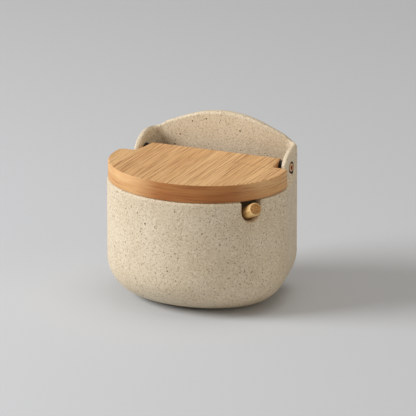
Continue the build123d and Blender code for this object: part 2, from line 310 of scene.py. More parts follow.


# clouds, pale patches and grain over each other, then flecks, then the painted shade in the screw pockets
def makeGlaze():
    g = Finish("speckledGlaze")
    cloud = g.noise(g.place, glaze["cloudScale"], 2.0, 0.5)
    grain = g.noise(g.place, glaze["grainScale"], 2.5, 0.65)
    pale = g.noise(g.place, glaze["paleScale"], 2.0, 0.6)
    ground = g.layer(colour(*glaze["light"]), cloud, glaze["cloudShare"], glaze["warm"])
    ground = g.layer(ground, pale, glaze["paleShare"], glaze["pale"])
    ground = g.layer(ground, grain, glaze["grainShare"], glaze["grain"])
    tone, marks = flecked(g, ground)
    # painted shade: the screw pockets darkened where their shadow falls
    tone = g.blend(paintedPocketShade(g), tone, colour(*glaze["pocketShadeTone"]))
    skin = g.noise(g.place, glaze["skinScale"], 3.0, 0.6)
    height = g.math("SUBTRACT", g.math("MULTIPLY", skin, glaze["skinRelief"]),
                    g.math("MULTIPLY", marks, glaze["fleckRelief"]))
    g.bump(height, glaze["relief"], glaze["reliefDepth"])
    g.set(Base_Color=tone, Roughness=g.ramp(skin, *glaze["roughShare"]), Specular_IOR_Level=glaze["specular"])
    return g.material


# bamboo: a pull is how far a pattern shrinks along the grain, so how long it is drawn out
bamboo = {"bright": (236, 196, 146), "pale": (229, 185, 130), "mid": (215, 165, 110), "deep": (158, 104, 58),
          "mark": (128, 80, 44), "lowerTint": (0.90, 0.83, 0.75), "lowerShift": 0.37,
          "fibreScale": 2900.0, "fibrePull": 0.012, "fibreShare": (0.50, 0.64, 0.0, 0.75),
          "streakScale": 1450.0, "streakPull": 0.014, "brightShare": (0.32, 0.46, 0.6, 0.0),
          "darkShare": (0.54, 0.68, 0.0, 0.85),
          "bandScale": 120.0, "bandPull": 0.012, "bandShare": (0.35, 0.65, 0.0, 0.7),
          "nodeAt": 0.0105, "nodeSlope": 0.15, "nodeWaver": 0.0016, "nodeWaverScale": 260.0, "nodeWidth": 0.00055,
          "nodeCore": 0.3, "nodeFrom": 0.006, "nodeFade": 0.004, "nodeStrength": 0.5,
          "breakScale": 700.0, "breakPull": 0.05, "breakShare": (0.44, 0.56),
          "edgeLineScale": 1500.0, "edgeLinePull": 0.03, "edgeLineShare": (0.48, 0.68, 0.0, 0.6),
          "edgeBandScale": 260.0, "edgeBandPull": 0.25, "edgeBandShare": (0.3, 0.7, 0.0, 0.8),
          # painted shade on the layers' edges: the tone multiplied in, where it begins and is full across, where it
          # fades towards the back, and how much is left there
          "edgeShade": (0.60, 0.40, 0.25), "edgeFrom": -0.027, "edgeTo": -0.001, "edgeBack": 0.047,
          "edgeFade": 0.014, "edgeLeast": 0.1, "flatShare": (0.3, 0.62),
          "roughShare": (0.3, 0.7, 0.44, 0.60), "relief": 0.3, "reliefDepth": 0.0002, "specular": 0.35}


# flat face of a layer: bands, streaks and fibres, each a noise drawn out long from front to back or,
# crosswise, from side to side. Gives the tone and the fibres.
def bambooFace(b, shift, crosswise):
    def pulled(stretch, height, away):
        return b.stretched((stretch, 1.0, height) if crosswise else (1.0, stretch, height), away)

    fibre = b.noise(pulled(bamboo["fibrePull"], 1.0, (shift, shift, 0)), bamboo["fibreScale"], 2.0, 0.6)
    streak = b.noise(pulled(bamboo["streakPull"], 1.0, (shift, 2 * shift, 0.3)), bamboo["streakScale"], 2.0, 0.6)
    band = b.noise(pulled(bamboo["bandPull"], 0.5, (0.4, shift, 0)), bamboo["bandScale"], 2.0, 0.5)
    tone = b.layer(colour(*bamboo["pale"]), band, bamboo["bandShare"], bamboo["mid"])
    tone = b.layer(tone, streak, bamboo["brightShare"], bamboo["bright"])
    tone = b.layer(tone, streak, bamboo["darkShare"], bamboo["deep"])
    return b.layer(tone, fibre, bamboo["fibreShare"], bamboo["deep"]), fibre


# row of nodes across the fibres: a wavering line y + slope x = nodeAt, broken here and there
def bambooNodes(b, spot):
    waver = b.math("MULTIPLY", b.noise(b.place, bamboo["nodeWaverScale"], 2.0), bamboo["nodeWaver"])
    slant = b.math("ADD", spot.outputs["Y"], b.math("MULTIPLY", spot.outputs["X"], bamboo["nodeSlope"]))
    offLine = b.math("ABSOLUTE", b.math("SUBTRACT", slant, b.math("ADD", waver, bamboo["nodeAt"])))
    line = b.ramp(offLine, bamboo["nodeWidth"] * bamboo["nodeCore"], bamboo["nodeWidth"], 1.0, 0.0)
    breaks = b.noise(b.stretched((1.0, bamboo["breakPull"], 1.0)), bamboo["breakScale"], 1.0)
    broken = b.math("MULTIPLY", b.ramp(breaks, *bamboo["breakShare"]),
                    b.ramp(spot.outputs["X"], bamboo["nodeFrom"], bamboo["nodeFrom"] + bamboo["nodeFade"]))
    return b.math("MULTIPLY", b.math("MULTIPLY", line, broken), bamboo["nodeStrength"])


# edge of a layer: fine lines that run round level with the table, with painted shade darkening the middle and right
# of the front
def bambooEdge(b, spot, shift):
    linePull, bandPull = bamboo["edgeLinePull"], bamboo["edgeBandPull"]
    line = b.noise(b.stretched((linePull, linePull, 1.0), (0, 0, shift)), bamboo["edgeLineScale"], 2.0, 0.6)
    band = b.noise(b.stretched((bandPull, bandPull, 1.0), (0, shift, 0)), bamboo["edgeBandScale"], 2.0, 0.5)
    tone = b.layer(colour(*bamboo["pale"]), band, bamboo["edgeBandShare"], bamboo["mid"])
    tone = b.layer(tone, line, bamboo["edgeLineShare"], bamboo["deep"])
    across, back = spot.outputs["X"], bamboo["edgeBack"]
    # painted shade: the edge darkened across the middle and right of the front
    paintedEdgeShade = b.math("MULTIPLY", b.ramp(across, bamboo["edgeFrom"], bamboo["edgeTo"]),
                   b.ramp(across, back - bamboo["edgeFade"], back, 1.0, bamboo["edgeLeast"]))
    return b.blend(paintedEdgeShade, tone, b.blend(1.0, tone, (*bamboo["edgeShade"], 1.0), "MULTIPLY"))


# face and edge tones, shared out by how level the surface is
def makeBamboo(name, shift=0.0, tint=None, crosswise=False):
    b = Finish(name)
    spot = b.add("ShaderNodeSeparateXYZ", Vector=b.place)
    face, fibre = bambooFace(b, shift, crosswise)
    if not crosswise:
        face = b.blend(bambooNodes(b, spot), face, colour(*bamboo["mark"]))
    normal = b.add("ShaderNodeTexCoord").outputs["Normal"]
    facing = b.add("ShaderNodeSeparateXYZ", Vector=normal).outputs["Z"]
    flat = b.ramp(b.math("ABSOLUTE", facing), *bamboo["flatShare"])
    tone = b.blend(flat, bambooEdge(b, spot, shift), face)
    if tint:
        tone = b.blend(1.0, tone, (*tint, 1.0), "MULTIPLY")
    b.bump(fibre, bamboo["relief"], bamboo["reliefDepth"])
    b.set(Base_Color=tone, Roughness=b.ramp(fibre, *bamboo["roughShare"]), Specular_IOR_Level=bamboo["specular"])
    return b.material


# metal and plastic of the hinge: two tones each, mixed by a fine noise
brass = {"scratchScale": 3500.0, "scratchShare": (0.3, 0.7, 0.0, 0.6), "polish": -0.05, "wear": 0.08,
         "relief": 0.08, "reliefDepth": 0.00005}
nylon = {"grainScale": 2500.0, "grainShare": (0.3, 0.7, 0.0, 0.3), "roughness": 0.55,
         "relief": 0.1, "reliefDepth": 0.00005}


# fine scratches: dull where the noise is high, and rougher there
def makeBrass(name, rough, bright, dull):
    m = Finish(name)
    scratch = m.noise(m.place, brass["scratchScale"], 3.0, 0.6)
    m.set(Base_Color=m.layer(colour(*bright), scratch, brass["scratchShare"], dull), Metallic=1.0,
          Roughness=m.ramp(scratch, 0.3, 0.7, rough + brass["polish"], rough + brass["wear"]))
    m.bump(scratch, brass["relief"], brass["reliefDepth"])
    return m.material


# dark moulded plastic with a dusty grain
def makeNylon(name, tone, dusty):
    m = Finish(name)
    grain = m.noise(m.place, nylon["grainScale"], 2.0)
    m.set(Base_Color=m.layer(colour(*tone), grain, nylon["grainShare"], dusty), Roughness=nylon["roughness"])
    m.bump(grain, nylon["relief"], nylon["reliefDepth"])
    return m.material


speckledGlaze = makeGlaze()
bambooUpper = makeBamboo("bambooUpper")
bambooLower = makeBamboo("bambooLower", bamboo["lowerShift"], bamboo["lowerTint"], True)
print("finishes made")


# stoneware jar: pot, ears and back board in one skin. Within an Ease either way one form goes over into
# the next, and a Blend rounds the corner between two. The bay is the room between the ears: inside, the
# wall goes over into it from bayStart to bayEnd past the ears' foot and from bayLow to bayHigh upwards.
pot = {"width": 103.0, "depth": 85.0, "frontReach": 43.6, "rim": 67.0, "wall": 5.0, "floor": 6.0,
       "bottomRound": 23.0, "frontDraw": 0.25, "flankAngle": 12.5, "cornerRadius": 14.0, "footRecess": 1.0,
       "earInner": 42.2, "earOuter": 45.5, "earFront": 15.0, "earTop": 83.3, "earRun": 16.0, "flare": 5.0,
       "flareSteep": 20.0, "flareBlend": 1.3, "crownEase": 2.5,
       "bayCorner": 6.0, "bayFront": 10.5, "bayStart": -0.5, "bayEnd": 4.5, "bayLow": 59.5, "bayHigh": 64.0,
       "crest": 95.5, "crestRadius": 55.0, "crestSlope": 23.5, "crestBlend": 1.6,
       "notchY": -23.73, "notchHalf": 5.75, "notchDepth": 11.8, "notchCorner": 1.8,
       "rimLip": 1.7, "notchLip": 1.3, "earLip": 1.45, "boardLip": 1.9, "notchLipWidth": 8.5, "boardLipEase": 5,
       "hingeY": 24.0, "hingeHeight": 72.9, "bore": 2.35, "pocket": 3.2, "pocketDepth": 1.5, "cutterSpare": 4,
       # columns of points round the pot, and how much closer they stand at the notch and the ears
       "around": 620, "notchDense": 1.8, "notchDenseWidth": 9.0, "earDense": 1.4, "earDenseWidth": 11.0,
       "earDenseFrom": 6.0,
       # heights of the rows that climb to the top edge: below the rim, and above the ears' flare
       "base": 50.0, "rimLevels": (54, 58, 61, 63.4, 65.2, 66.3, 66.85), "earLevels": (74.0, 76.5, 79.5),
       "rowSpare": 0.07}


# plan of the pot drawn in by inset: along 0-1 runs round the front ellipse to the flank, 1-2 down the
# straight flank, 2-3 round the rear corner, 3-4 along the back; 4-8 is the mirror of it
def potOutline(along, inset, extra=0.0):
    back = pot["depth"] / 2
    widest = pot["frontReach"] - back
    lean = radians(pot["flankAngle"])
    corner = pot["cornerRadius"]
    half = np.where(along > 4, 8 - along, along)
    side, reach = pot["width"] / 2 - inset, pot["frontReach"] - inset - extra
    span = np.hypot(side * np.cos(lean), reach * np.sin(lean))
    startX, startY = side**2 * np.cos(lean) / span, widest + reach**2 * np.sin(lean) / span
    away = startX * np.cos(lean) + startY * np.sin(lean)
    cornerY = back - inset - corner
    cornerX = (away - corner - cornerY * np.sin(lean)) / np.cos(lean)
    endX, endY = cornerX + corner * np.cos(lean), cornerY + corner * np.sin(lean)
    sweep = -np.pi / 2 + np.clip(half, 0, 1) * (np.pi / 2 + np.arctan2(reach * np.sin(lean), side * np.cos(lean)))
    down = np.clip(half - 1, 0, 1)
    bend = lean + np.clip(half - 2, 0, 1) * (np.pi / 2 - lean)
    rest = np.clip(half - 3, 0, 1)
    which = [half < 1, half < 2, half < 3]
    x = np.select(which, [side * np.cos(sweep), startX + down * (endX - startX), cornerX + corner * np.cos(bend)],
                  cornerX * (1 - rest))
    y = np.select(which, [widest + reach * np.sin(sweep), startY + down * (endY - startY),
                          cornerY + corner * np.sin(bend)], back - inset)
    return np.where(along > 4, -x, x), y + 0 * x


# inner edge of ears and board seen from above: straight ears, round inner corners, flat board
def bayOutline(along):
    half = np.where(along > 4, 8 - along, along)
    corner, inner, front = pot["bayCorner"], pot["earInner"], pot["bayFront"]
    face = pot["depth"] / 2 - pot["wall"]
    bend = np.clip(half - 2, 0, 1) * np.pi / 2
    x = np.select([half < 2, half < 3], [inner + 0 * half, inner - corner + corner * np.cos(bend)],
                  (inner - corner) * (1 - np.clip(half - 3, 0, 1)))
    y = np.select([half < 2, half < 3], [front + np.clip(half - 1, 0, 1) * (face - corner - front),
                                         face - corner + corner * np.sin(bend)], face)
    return np.where(along > 4, -x, x), y


# table of the plan: along against the run, which is the length round the pot from the front's middle
halfSteps = 8000
alongTable = np.linspace(0, 8, 2 * halfSteps + 1)
tableX, tableY = potOutline(alongTable, 0.0)
runTable = lengthAlong(tableX, tableY)
girth = runTable[-1]
rightHalf = slice(0, halfSteps + 1)


# run at which the right half of the plan reaches a depth y, read from the table
def runAtDepth(y):
    return np.interp(y, tableY[rightHalf], runTable[rightHalf])


# along at a run, read from the table; a run past the girth starts again at the front
def alongAtRun(run):
    return np.interp(np.mod(run, girth), runTable, alongTable)


# run to the front's middle by the shorter way round
def runFromFront(run):
    run = np.mod(run, girth)
    return np.minimum(run, girth - run)


# height of the back board over x: round crest, then a straight slope down to the ears
def boardHeight(x):
    slope = radians(pot["crestSlope"])
    endX = pot["crestRadius"] * np.sin(slope)
    endZ = pot["crest"] - pot["crestRadius"] * (1 - np.cos(slope))
    arc = pot["crest"] - pot["crestRadius"] + np.sqrt(np.clip(pot["crestRadius"]**2 - x**2, 0, None))
    straight = endZ - (np.abs(x) - endX) * np.tan(slope)
    hill = np.where(np.abs(x) < endX, arc, straight)
    return -softMin(-hill, -pot["earTop"] + 0 * x, pot["crestBlend"])


# top edge of the wall as a line in (run, height): level rim, U-shaped notch on the right, then on both
# sides a hollow quarter circle up to the ear, a quarter ellipse to its top, and the board.
# Gives the line, and the runs of the notch, of the foot of the ear and of its top.
def topEdge():
    p = pot
    quarter = np.linspace(0, np.pi / 2, 40)
    notch = runAtDepth(p["notchY"])
    c, w, r = p["notchCorner"], p["notchHalf"], p["rim"]
    bottom = r - p["notchDepth"] + w
    front, top = runAtDepth(p["earFront"]), runAtDepth(p["earFront"] + p["earRun"])
    foot, flare = front - p["flare"], p["flare"]
    bowl = np.linspace(np.pi, 2 * np.pi, 120)
    opening = [(np.linspace(0, notch - w - c, 200), np.full(200, r))]
    notchLine = [(notch - w - c + c * np.sin(quarter), r - c + c * np.cos(quarter)),
                 (np.full(20, notch - w), np.linspace(r - c, bottom, 20)),
                 (notch + w * np.cos(bowl), bottom + w * np.sin(bowl)),
                 (np.full(20, notch + w), np.linspace(bottom, r - c, 20)),
                 (notch + w + c - c * np.cos(quarter), r - c + c * np.sin(quarter))]
    earLine = [(np.linspace(notch + w + c, foot, 300), np.full(300, r)),
               (foot + flare * np.sin(quarter), r + flare - flare * np.cos(quarter)),
               (top - (top - front) * np.cos(quarter), r + flare + (p["earTop"] - r - flare) * np.sin(quarter))]
    behind = np.linspace(top, girth / 2, 900)
    boardLine = [(behind, boardHeight(np.interp(behind, runTable, tableX)))]
    right = opening + notchLine + earLine + boardLine
    left = [(np.linspace(0, foot, 400), np.full(400, r))] + earLine[1:] + boardLine
    runRight, riseRight = (np.concatenate(part) for part in zip(*right))
    runLeft, riseLeft = (np.concatenate(part)[::-1] for part in zip(*left))
    run = np.concatenate([runRight, girth - runLeft])
    rise = np.concatenate([riseRight, riseLeft])
    keep = np.concatenate([[True], np.hypot(np.diff(run), np.diff(rise)) > 1e-4])
    return run[keep], rise[keep], notch, foot, top


# outer face at a place on the wall: the pot's plan, drawn in to the ears by a hollow flare above the rim
def outerFace(run, rise, foot):
    x, y = potOutline(alongAtRun(run), 0.0)
    crown = ease(runFromFront(run), foot - pot["crownEase"], foot + pot["crownEase"])
    drop = np.clip(pot["rim"] + pot["flare"] - rise, 0, pot["flare"])
    hollow = pot["flare"] - np.sqrt(pot["flare"]**2 - drop**2)
    hollow = hollow + np.clip(pot["rim"] - rise, 0, None) * pot["flareSteep"]
    drawn = pot["earOuter"] + softMin(np.abs(x) - pot["earOuter"], hollow, pot["flareBlend"])
    return x + (np.sign(x) * drawn - x) * crown, y


# inner face: the pot's plan drawn in by the wall, eased over to the ears' straight faces near the rim
def innerFace(run, rise, foot):
    along = alongAtRun(run)
    x, y = potOutline(along, pot["wall"])
    bayX, bayY = bayOutline(along)
    share = ease(runFromFront(run), foot + pot["bayStart"], foot + pot["bayEnd"])
    share = share * ease(rise, pot["bayLow"], pot["bayHigh"])
    return x + (bayX - x) * share, y + (bayY - y) * share


# running mean of values that close on themselves, with bell weights e^(-(distance / width)^2 / 2)
def smoothed(values, half, step, width):
    window = np.exp(-0.5 * (np.arange(-half, half + 1) * step / width)**2)
    window /= window.sum()
    return np.convolve(np.concatenate([values[-half:], values, values[:half]]), window, "valid")


# where each column of points meets the top edge. The columns share out the edge's length times a
# density, which rises at the notch and the ears. The foot of a column stands at the edge's run smoothed
# over 4 mm, and its way over the edge is square to the edge smoothed over 0.25 mm.
def edgeColumns(run, rise, notch, foot):
    p = pot
    length = lengthAlong(run, rise)
    total = length[-1] + np.hypot(run[0] + girth - run[-1], rise[0] - rise[-1])
    density = 1.0 + p["notchDense"] * plateau(run - notch, p["notchDenseWidth"])
    density = density + p["earDense"] * plateau(runFromFront(run) - (foot + p["earDenseFrom"]), p["earDenseWidth"])
    weight = np.concatenate([[0], np.cumsum(np.diff(length) * (density[1:] + density[:-1]) / 2)])
    weightAll = weight[-1] + (total - length[-1])
    pick = np.linspace(0, weightAll, p["around"], endpoint=False)
    lengthAt = np.interp(pick, np.append(weight, weightAll), np.append(length, total))

    fineCount = 8000
    fineLength = np.linspace(0, total, fineCount, endpoint=False)
    fineRun = np.interp(fineLength, np.append(length, total), np.append(run, girth))
    fineRise = np.interp(fineLength, np.append(length, total), np.append(rise, rise[0]))
    step = total / fineCount
    drift = fineRun - fineLength * girth / total
    footRun = smoothed(drift, 400, step, 4.0) + fineLength * girth / total
    alongRun = np.gradient(smoothed(drift, 12, step, 0.25)) + step * girth / total
    alongRise = np.gradient(smoothed(fineRise, 12, step, 0.25))
    size = np.hypot(alongRun, alongRise)
    return [np.interp(lengthAt, fineLength, part) for part in (
        fineRun, fineRise, footRun, -alongRise / size, alongRun / size)]


# radius of the rounding over the edge: the rim's, the notch's, the ears' and the board's, eased over
def lipRadius(run, notch, foot, top):
    p = pot
    away = runFromFront(run)
    lip = p["rimLip"] + (p["notchLip"] - p["rimLip"]) * plateau(run - notch, p["notchLipWidth"])
    lip = lip + (p["earLip"] - lip) * ease(away, foot - 2, foot + 4)
    return lip + (p["boardLip"] - lip) * ease(away, top - p["boardLipEase"], top + p["boardLipEase"])


# level ring of the pot: its plan drawn in by inset and drawIn, and by a share of drawIn more in front
def potRing(along, inset, drawIn, rise):
    x, y = potOutline(along, inset + drawIn, drawIn * pot["frontDraw"])
    return np.stack([x, y, np.full_like(x, rise)], -1)


# rings up a quarter circle of the given radius, turned over turns, from the height low
def roundRings(along, inset, radius, low, turns):
    return [potRing(along, inset, radius * (1 - np.sin(t)), low + radius * (1 - np.cos(t))) for t in turns]


# a ring shrunk to a share of its size about its middle
def shrunkRing(ring, share):
    shrunk = ring.copy()
    centre = ring[:, :2].mean(0)
    shrunk[:, :2] = centre + (ring[:, :2] - centre) * share
    return shrunk


# the whole skin: rows climb from under the foot, up the outside, over the lip, down the inside to the
# floor. Between base and lip a row keeps its level where the wall is higher, and stays under the lip.
def jarSkin():
    p = pot
    run, rise, notch, foot, top = topEdge()
    edgeRun, edgeRise, baseRun, awayRun, awayRise = edgeColumns(run, rise, notch, foot)
    along = alongAtRun(baseRun)
    lip = lipRadius(edgeRun, notch, foot, top)
    startRun, startRise = edgeRun - awayRun * lip, edgeRise - awayRise * lip

    flareTurn = np.radians(np.arange(8, 91, 8.2))
    levels = np.concatenate([[p["base"]], p["rimLevels"], p["rim"] + p["flare"] - p["flare"] * np.cos(flareTurn),
                             p["earLevels"], [np.inf]])
    count = len(levels)
    spare = (count - 1 - np.arange(count)) * p["rowSpare"]
    climb = np.minimum(levels[:, None], startRise[None, :] - spare[:, None])
    climb[0] = p["base"]
    share = (climb - p["base"]) / (startRise - p["base"])
    climbRun = baseRun + (startRun - baseRun) * share

    # underside, foot and outside
    footRing = potRing(along, 0.0, p["bottomRound"], 0.0)
    recess = p["footRecess"]
    rows = []
    underside = [(size, recess) for size in (0.0, 0.3, 0.6, 0.74)] + [(0.775, recess / 2), (0.80, 0.0)]
    for size, height in underside:
        rows.append(shrunkRing(footRing, size))
        rows[-1][:, 2] = height
    rows += roundRings(along, 0.0, p["bottomRound"], 0.0, np.linspace(0, np.pi / 2, 16))
    rows += [potRing(along, 0.0, 0.0, height) for height in np.linspace(p["bottomRound"], p["base"], 7)[1:-1]]
    outerX, outerY = outerFace(climbRun, climb, foot)
    rows.extend(np.stack([outerX, outerY, climb], -1))

    # over the lip: a quarter circle up, flat across, a quarter circle down
    fullX, fullY = outerFace(edgeRun, edgeRise, foot)
    inX, inY = innerFace(edgeRun, edgeRise, foot)
    width = np.hypot(fullX - inX, fullY - inY)
    bend = np.linspace(0, np.pi / 2, 9)
    acrossAndDown = [(lip * (1 - np.cos(b)), lip * (1 - np.sin(b))) for b in bend[1:]]
    acrossAndDown += [(lip + (width - 2 * lip) * f, 0 * lip) for f in (0.33, 0.67)]
    acrossAndDown += [(width - lip * (1 - np.cos(b)), lip * (1 - np.sin(b))) for b in bend[::-1][:-1]]
    for across, down in acrossAndDown:
        atRun, atRise = edgeRun - awayRun * down, edgeRise - awayRise * down
        outX, outY = outerFace(atRun, atRise, foot)
        inX, inY = innerFace(atRun, atRise, foot)
        f = across / width
        rows.append(np.stack([outX + (inX - outX) * f, outY + (inY - outY) * f, atRise], -1))

    # inside and floor; the inside needs only some of the outside's rows
    innerX, innerY = innerFace(climbRun, climb, foot)
    needed = {*range(7), *range(count - 4, count), *range(0, count, 3)}
    rows.extend(np.stack([innerX[k], innerY[k], climb[k]], -1) for k in sorted(needed, reverse=True))
    innerRound = p["bottomRound"] - p["wall"]
    innerLevels = np.linspace(p["base"], p["floor"] + innerRound, 5)[1:]
    rows += [potRing(along, p["wall"], 0.0, height) for height in innerLevels]
    rows += roundRings(along, p["wall"], innerRound, p["floor"], np.linspace(np.pi / 2, 0, 12)[1:])
    rows += [shrunkRing(rows[-1], size) for size in (0.7, 0.35, 0.0)]
    return np.stack(rows)


# round cutter along the hinge line: narrow bore, then a wider pocket for the screw head
def earCutter(side):
    p = pot
    start, end = p["earInner"] - p["cutterSpare"], p["earOuter"] + p["cutterSpare"]
    seat = p["earOuter"] - p["pocketDepth"]
    radii = np.array([0.0, p["bore"], p["bore"], p["pocket"], p["pocket"], 0.0])
    reach = np.array([start, start, seat, seat, end, end])
    turn = np.linspace(0, 2 * np.pi, 64, endpoint=False)
    points = np.stack([np.repeat(side * reach[:, None], len(turn), 1), p["hingeY"] + radii[:, None] * np.cos(turn),
                       p["hingeHeight"] + radii[:, None] * np.sin(turn)], -1)
    return loopSkin("earCutter", points)


# takes both cutters out of the jar and keeps the result as its mesh
def cutEars(piece):
    cutters = [earCutter(1), earCutter(-1)]
    for cutter in cutters:
        cut = piece.modifiers.new("cut", "BOOLEAN")
        cut.operation, cut.solver, cut.object = "DIFFERENCE", "EXACT", cutter
    baked = bpy.data.meshes.new_from_object(piece.evaluated_get(bpy.context.evaluated_depsgraph_get()))
    piece.modifiers.clear()
    old, piece.data = piece.data, baked
    bpy.data.meshes.remove(old)
    for cutter in cutters:
        bpy.data.objects.remove(cutter)
    baked.name = piece.name
    baked.materials.clear()
    baked.shade_smooth()
    baked.set_sharp_from_angle(angle=radians(40))


jar = loopSkin("jar_shell", jarSkin(), 60.0)
cutEars(jar)
jar.data.materials.append(speckledGlaze)
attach(jar, "jar")
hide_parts("jar_body")
print("jar made:", len(jar.data.polygons), "faces")


# lid layers
lid = {"inset": 0.5, "bottom": 67.3, "ply": 4.9, "shoulder": 8.8, "shoulderCorner": 4.0, "tongueRoot": 41.0,
       "tongueEnd": 37.9, "topRound": 1.1, "bottomRound": 0.7, "joint": 0.12, "endCorner": 1.2,
       "endCornerShare": 0.6, "endStart": 1.0, "stretchStart": 4, "middleY": -8.0, "around": 760, "bendWeight": 3.0}


# plan of the lid: the pot's front line, a round shoulder, and the tongue narrowing to its end with a
# small round corner, then the mirror of it
def lidPlan():
    l = lid
    x, y = potOutline(np.linspace(0, 1.6, 6000), l["inset"])
    c, e = l["shoulderCorner"], l["endCorner"]
    keep = y < l["shoulder"] - c
    edgeX = np.interp(l["shoulder"] - c, y, x)
    turn = np.linspace(0, np.pi / 2, 60)
    cornerX, cornerY = edgeX - c + c * np.cos(turn), l["shoulder"] - c + c * np.sin(turn)
    end = pot["hingeY"] + l["ply"]
    slope = (l["tongueRoot"] - l["tongueEnd"]) / (end - l["shoulder"])
    ledgeX = np.linspace(edgeX - c, l["tongueRoot"], 20)[1:]
    sideY = np.linspace(l["shoulder"], end - e, 120)
    sideX = l["tongueRoot"] - (sideY - l["shoulder"]) * slope
    tipX, tipY = sideX[-1] - e + e * np.cos(turn), end - e + e * np.sin(turn)
    endX = np.linspace(tipX[-1], 0, 300)[1:]
    xs = np.concatenate([x[keep], cornerX, ledgeX, sideX[1:], tipX[1:], endX])
    ys = np.concatenate([y[keep], cornerY, np.full(len(ledgeX), l["shoulder"]), sideY[1:], tipY[1:],
                         np.full(len(endX), end)])
    return np.concatenate([xs, -xs[::-1][1:-1]]), np.concatenate([ys, ys[::-1][1:-1]])


# the same closed line through count points, which share out its length plus bendWeight times its turning
def resampled(xs, ys, count):
    run = lengthAlong(xs, ys)
    total = run[-1] + np.hypot(xs[0] - xs[-1], ys[0] - ys[-1])
    risingRun = run + np.arange(len(run)) * 1e-9  # no two points share a run
    angle = np.unwrap(np.arctan2(np.gradient(ys, risingRun), np.gradient(xs, risingRun)))
    weight = np.concatenate([[0], np.cumsum(np.diff(run) + lid["bendWeight"] * np.abs(np.diff(angle)))])
    weightAll = weight[-1] + total - run[-1]
    closedRun = np.append(run, total)
    at = np.interp(np.linspace(0, weightAll, count, endpoint=False), np.append(weight, weightAll), closedRun)
    return np.interp(at, closedRun, np.append(xs, xs[0])), np.interp(at, closedRun, np.append(ys, ys[0]))


# one layer: up = 1 builds the upper one, -1 the lower. Height over the joint is the layer's thickness,
# rounded off at the sides, and a quarter circle towards the tongue's end
def lidSkin(up, edgeRound):
    l = lid
    ply, hinge, joint = l["ply"], pot["hingeY"], l["joint"]
    middle = l["bottom"] + ply
    x, y = resampled(*lidPlan(), l["around"])
    # outward direction of the plan at each point
    dx, dy = np.roll(x, -1) - np.roll(x, 1), np.roll(y, -1) - np.roll(y, 1)
    size = np.hypot(dx, dy)
    outX, outY = dy / size, -dx / size
    if np.sum(outX * x) < 0:
        outX, outY = -outX, -outY
    endness = ease(y, hinge - l["endStart"], hinge + ply - l["endCornerShare"] * l["endCorner"])
    side = edgeRound * (1 - endness)
    stretchFrom = hinge - l["stretchStart"]

    # thickness of the layer at a depth: whole up to the hinge line, then the quarter circle
    def body(at):
        return np.sqrt(np.clip(ply**2 - np.clip(at - hinge, 0, ply)**2, 0, None))

    # the plan drawn in by sideIn at the sides and by endIn at the tongue's end
    def row(sideIn, endIn):
        stretch = np.clip((y - stretchFrom) / (ply + l["stretchStart"]), 0, None)
        px, py = x - outX * sideIn, y - outY * sideIn * (1 - endness)
        return px, np.minimum(py, y) - stretch * endIn * (y > stretchFrom)

    # the plan shrunk about the lid's middle
    def shrunk(px, py, share):
        return px * share, l["middleY"] + (py - l["middleY"]) * share

    # flat joint face, from the middle out to the edge
    rows = []
    level = np.full_like(x, middle)
    for share in (0.0, 0.3, 0.6, 0.85, 0.97):
        rows.append(np.stack([*shrunk(x, np.minimum(y, hinge + ply * 0.9), share), level], -1))
    rows.append(np.stack([*row(joint * (1 - endness), 0.0), level], -1))
    # sides
    for share in (0.0, 0.33, 0.67, 1.0):
        px, py = row(0.0, 0.0)
        height = joint * (1 - endness) + share * np.clip(body(py) - side - joint, 0, None)
        rows.append(np.stack([px, py, middle + up * np.minimum(height, body(py))], -1))
    # rounded edge, then the face from the edge in to the middle
    for turn in np.linspace(0, np.pi / 2, 12)[1:]:
        px, py = row(side * (1 - np.cos(turn)), ply * (1 - np.cos(turn)))
        height = np.clip(body(py) - side * (1 - np.sin(turn)), 0, None)
        rows.append(np.stack([px, py, middle + up * height], -1))
    for share in (0.994, 0.98, 0.9, 0.7, 0.45, 0.2, 0.0):
        atX, atY = shrunk(px, py, share)
        rows.append(np.stack([atX, atY, middle + up * body(atY)], -1))
    return np.stack(rows)


lidTop = loopSkin("lid_top_layer", lidSkin(1, lid["topRound"]))
lidTop.data.materials.append(bambooUpper)
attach(lidTop, "lid")
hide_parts("lid_upper_layer")
lidUnder = loopSkin("lid_under_layer", lidSkin(-1, lid["bottomRound"]))
lidUnder.data.materials.append(bambooLower)
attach(lidUnder, "lid")
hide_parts("lid_lower_layer")
print("lid made")


# spoon, and its wood: the cut end shows browner end grain inside a pale rim
spoon = {"length": 101.5, "lean": 26.0, "notchTurn": -39.3, "notchX": 42.33, "overhang": 4.2, "restGap": 0.28,
         "faceWidth": 6.0, "faceThick": 5.8, "faceRound": 0.16, "tipWidth": 7.4, "tipThick": 7.1, "tipSwell": 0.9,
         "neckAt": 45.0, "neckWidth": 6.6, "neckThick": 5.4, "endThick": 3.4,
         "bowlRadius": 9.5, "bowlDepth": 5.5, "bowlWall": 2.0, "rimRise": 2.0,
         "bowlBlend": 2.5, "bowlLead": 3.5, "bowlOpen": 5.0, "around": 72,
         "pale": (236, 196, 132), "warm": (212, 163, 98), "fibre": (170, 118, 62), "rim": (250, 216, 158),
         "endPale": (206, 154, 88), "endDark": (146, 98, 50),
         "grainPull": 0.03, "fibreScale": 1500.0, "fibreShare": (0.5, 0.72, 0.0, 0.6),
         "streakScale": 520.0, "streakShare": (0.35, 0.7), "poreScale": 1500.0, "poreShare": (0.38, 0.62),
         "rimShare": (0.0002, 0.0010, 0.75, 0.0), "endShare": (0.00003, 0.00022, 1.0, 0.0),
         "roughShare": (0.3, 0.7, 0.44, 0.58), "relief": 0.2, "reliefDepth": 0.0002, "specular": 0.35}


